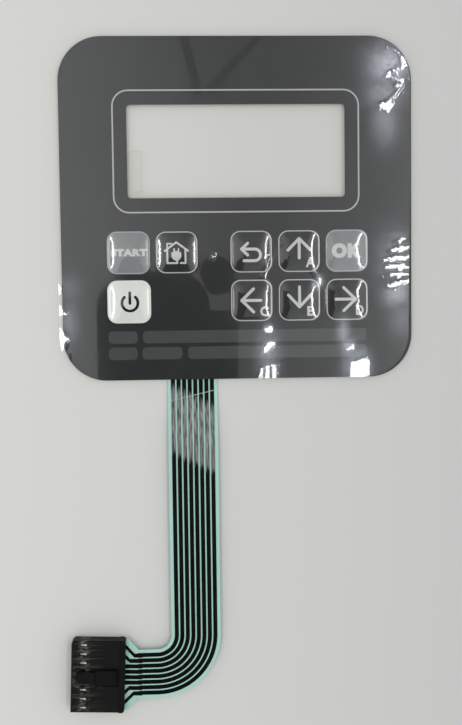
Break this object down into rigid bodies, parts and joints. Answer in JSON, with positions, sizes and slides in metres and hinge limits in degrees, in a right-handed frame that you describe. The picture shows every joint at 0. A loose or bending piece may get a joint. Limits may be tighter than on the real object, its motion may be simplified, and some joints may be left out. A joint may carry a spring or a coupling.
{
  "type": "membrane keypad",
  "caption": "Flat membrane keypad with a display window, embossed keys, a film tail and a latching receptacle.",
  "frame": {"origin": "centre of the panel on its rear face", "axes": "+Z out of the front of the panel, +Y towards the display window, -Y the edge where the tail leaves"},
  "size_m": [0.0979, 0.1872, 0.0056],
  "materials": {
    "liner": "smooth coated release paper",
    "rear_adhesive": "acrylic adhesive sheet",
    "circuit_film": "polyester film with mint green insulating print",
    "tracks": "printed carbon ink",
    "spacer": "polyester spacer with adhesive faces",
    "dome": "stamped spring stainless steel",
    "dome_retainer": "clear polyester film",
    "overlay_adhesive": "clear acrylic adhesive",
    "ink": "screen-printed graphite ink",
    "overlay": "clear polyester overlay film, embossed",
    "protective_film": "thin clear polyethylene film, loose and wrinkled",
    "housing": "moulded black nylon",
    "rear_retainer": "moulded black nylon",
    "contact": "tin-plated brass strip"
  },
  "bodies": {
    "root": {"release_liner": "liner", "rear_adhesive": "rear_adhesive", "circuit_film": "circuit_film", "conductor_tracks": "tracks", "dome_spacer": "spacer", "dome_start": "dome", "dome_home": "dome", "dome_back": "dome", "dome_up": "dome", "dome_ok": "dome", "dome_power": "dome", "dome_left": "dome", "dome_down": "dome", "dome_right": "dome", "dome_retainer": "dome_retainer", "overlay_adhesive": "overlay_adhesive", "ink_layer": "ink", "graphic_overlay": "overlay", "protective_film": "protective_film", "connector_housing": "housing", "rear_retainer": "rear_retainer", "contact_1": "contact", "contact_2": "contact", "contact_3": "contact", "contact_4": "contact", "contact_5": "contact", "contact_6": "contact", "contact_7": "contact", "contact_8": "contact"}
  },
  "joints": []
}
